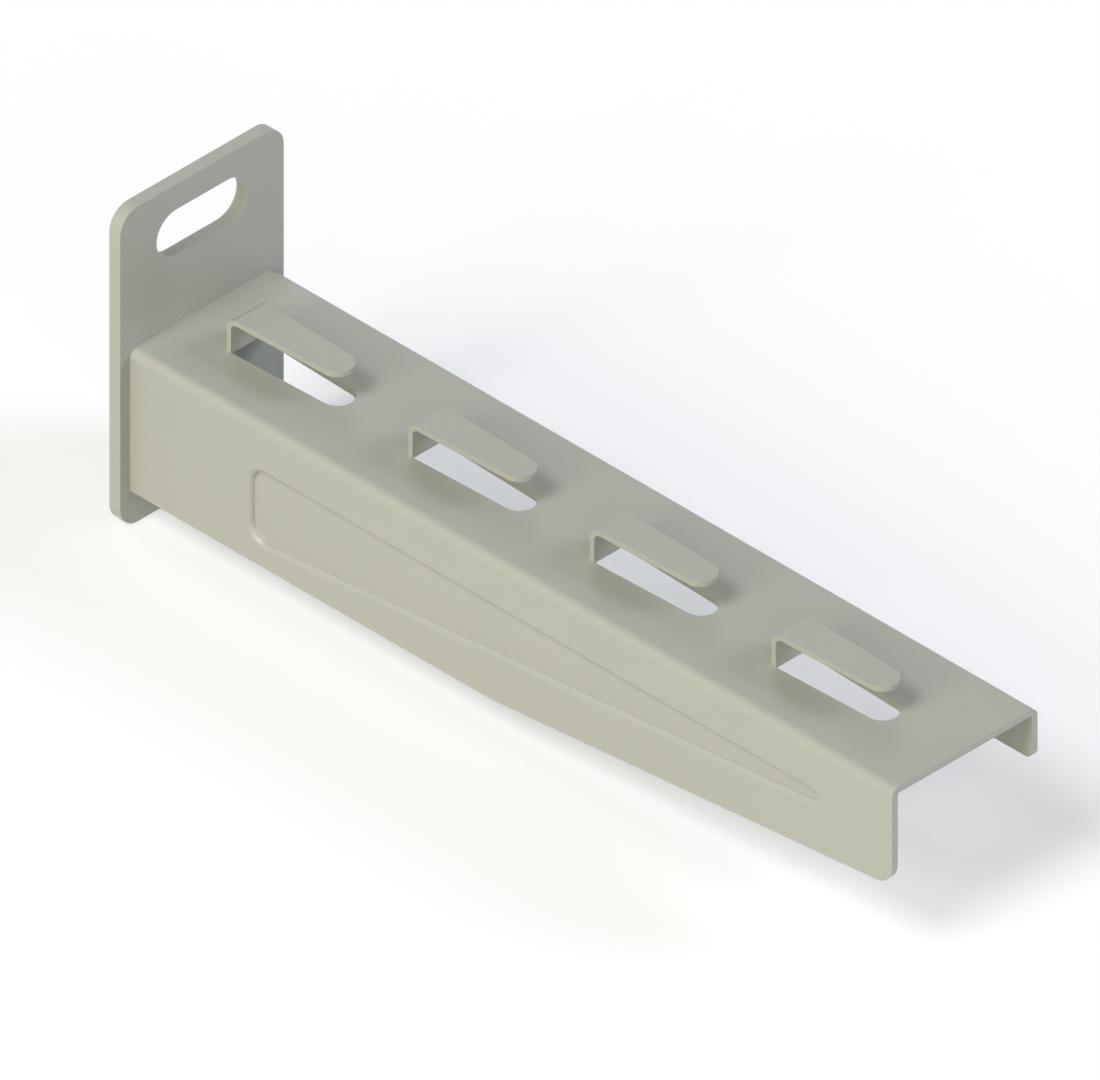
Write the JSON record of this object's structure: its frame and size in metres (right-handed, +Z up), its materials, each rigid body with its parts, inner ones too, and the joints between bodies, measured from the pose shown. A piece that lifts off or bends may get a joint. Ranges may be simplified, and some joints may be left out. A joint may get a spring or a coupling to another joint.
{
  "type": "cantilever strut arm",
  "caption": "Folded sheet arm with a deep tapered web and a pressed stiffening panel, welded to a slotted wall plate, with hook tabs lanced up from its top to grip a cable tray.",
  "frame": {"origin": "on the wall face of the head plate, at mid width, level with the top of the arm", "axes": "+X out along the arm from the wall to the tip, +Y towards the short lip, +Z up"},
  "size_m": [0.213, 0.045, 0.075],
  "materials": {
    "coated_plate": "satin light grey powder coat over laser-cut steel plate",
    "coated_sheet": "satin light grey powder coat over folded steel sheet",
    "coated_weld": "satin light grey powder coat over a rippled weld bead"
  },
  "bodies": {
    "root": {"head_plate": "coated_plate", "arm_channel": "coated_sheet", "inner_weld": "coated_weld"}
  },
  "joints": []
}
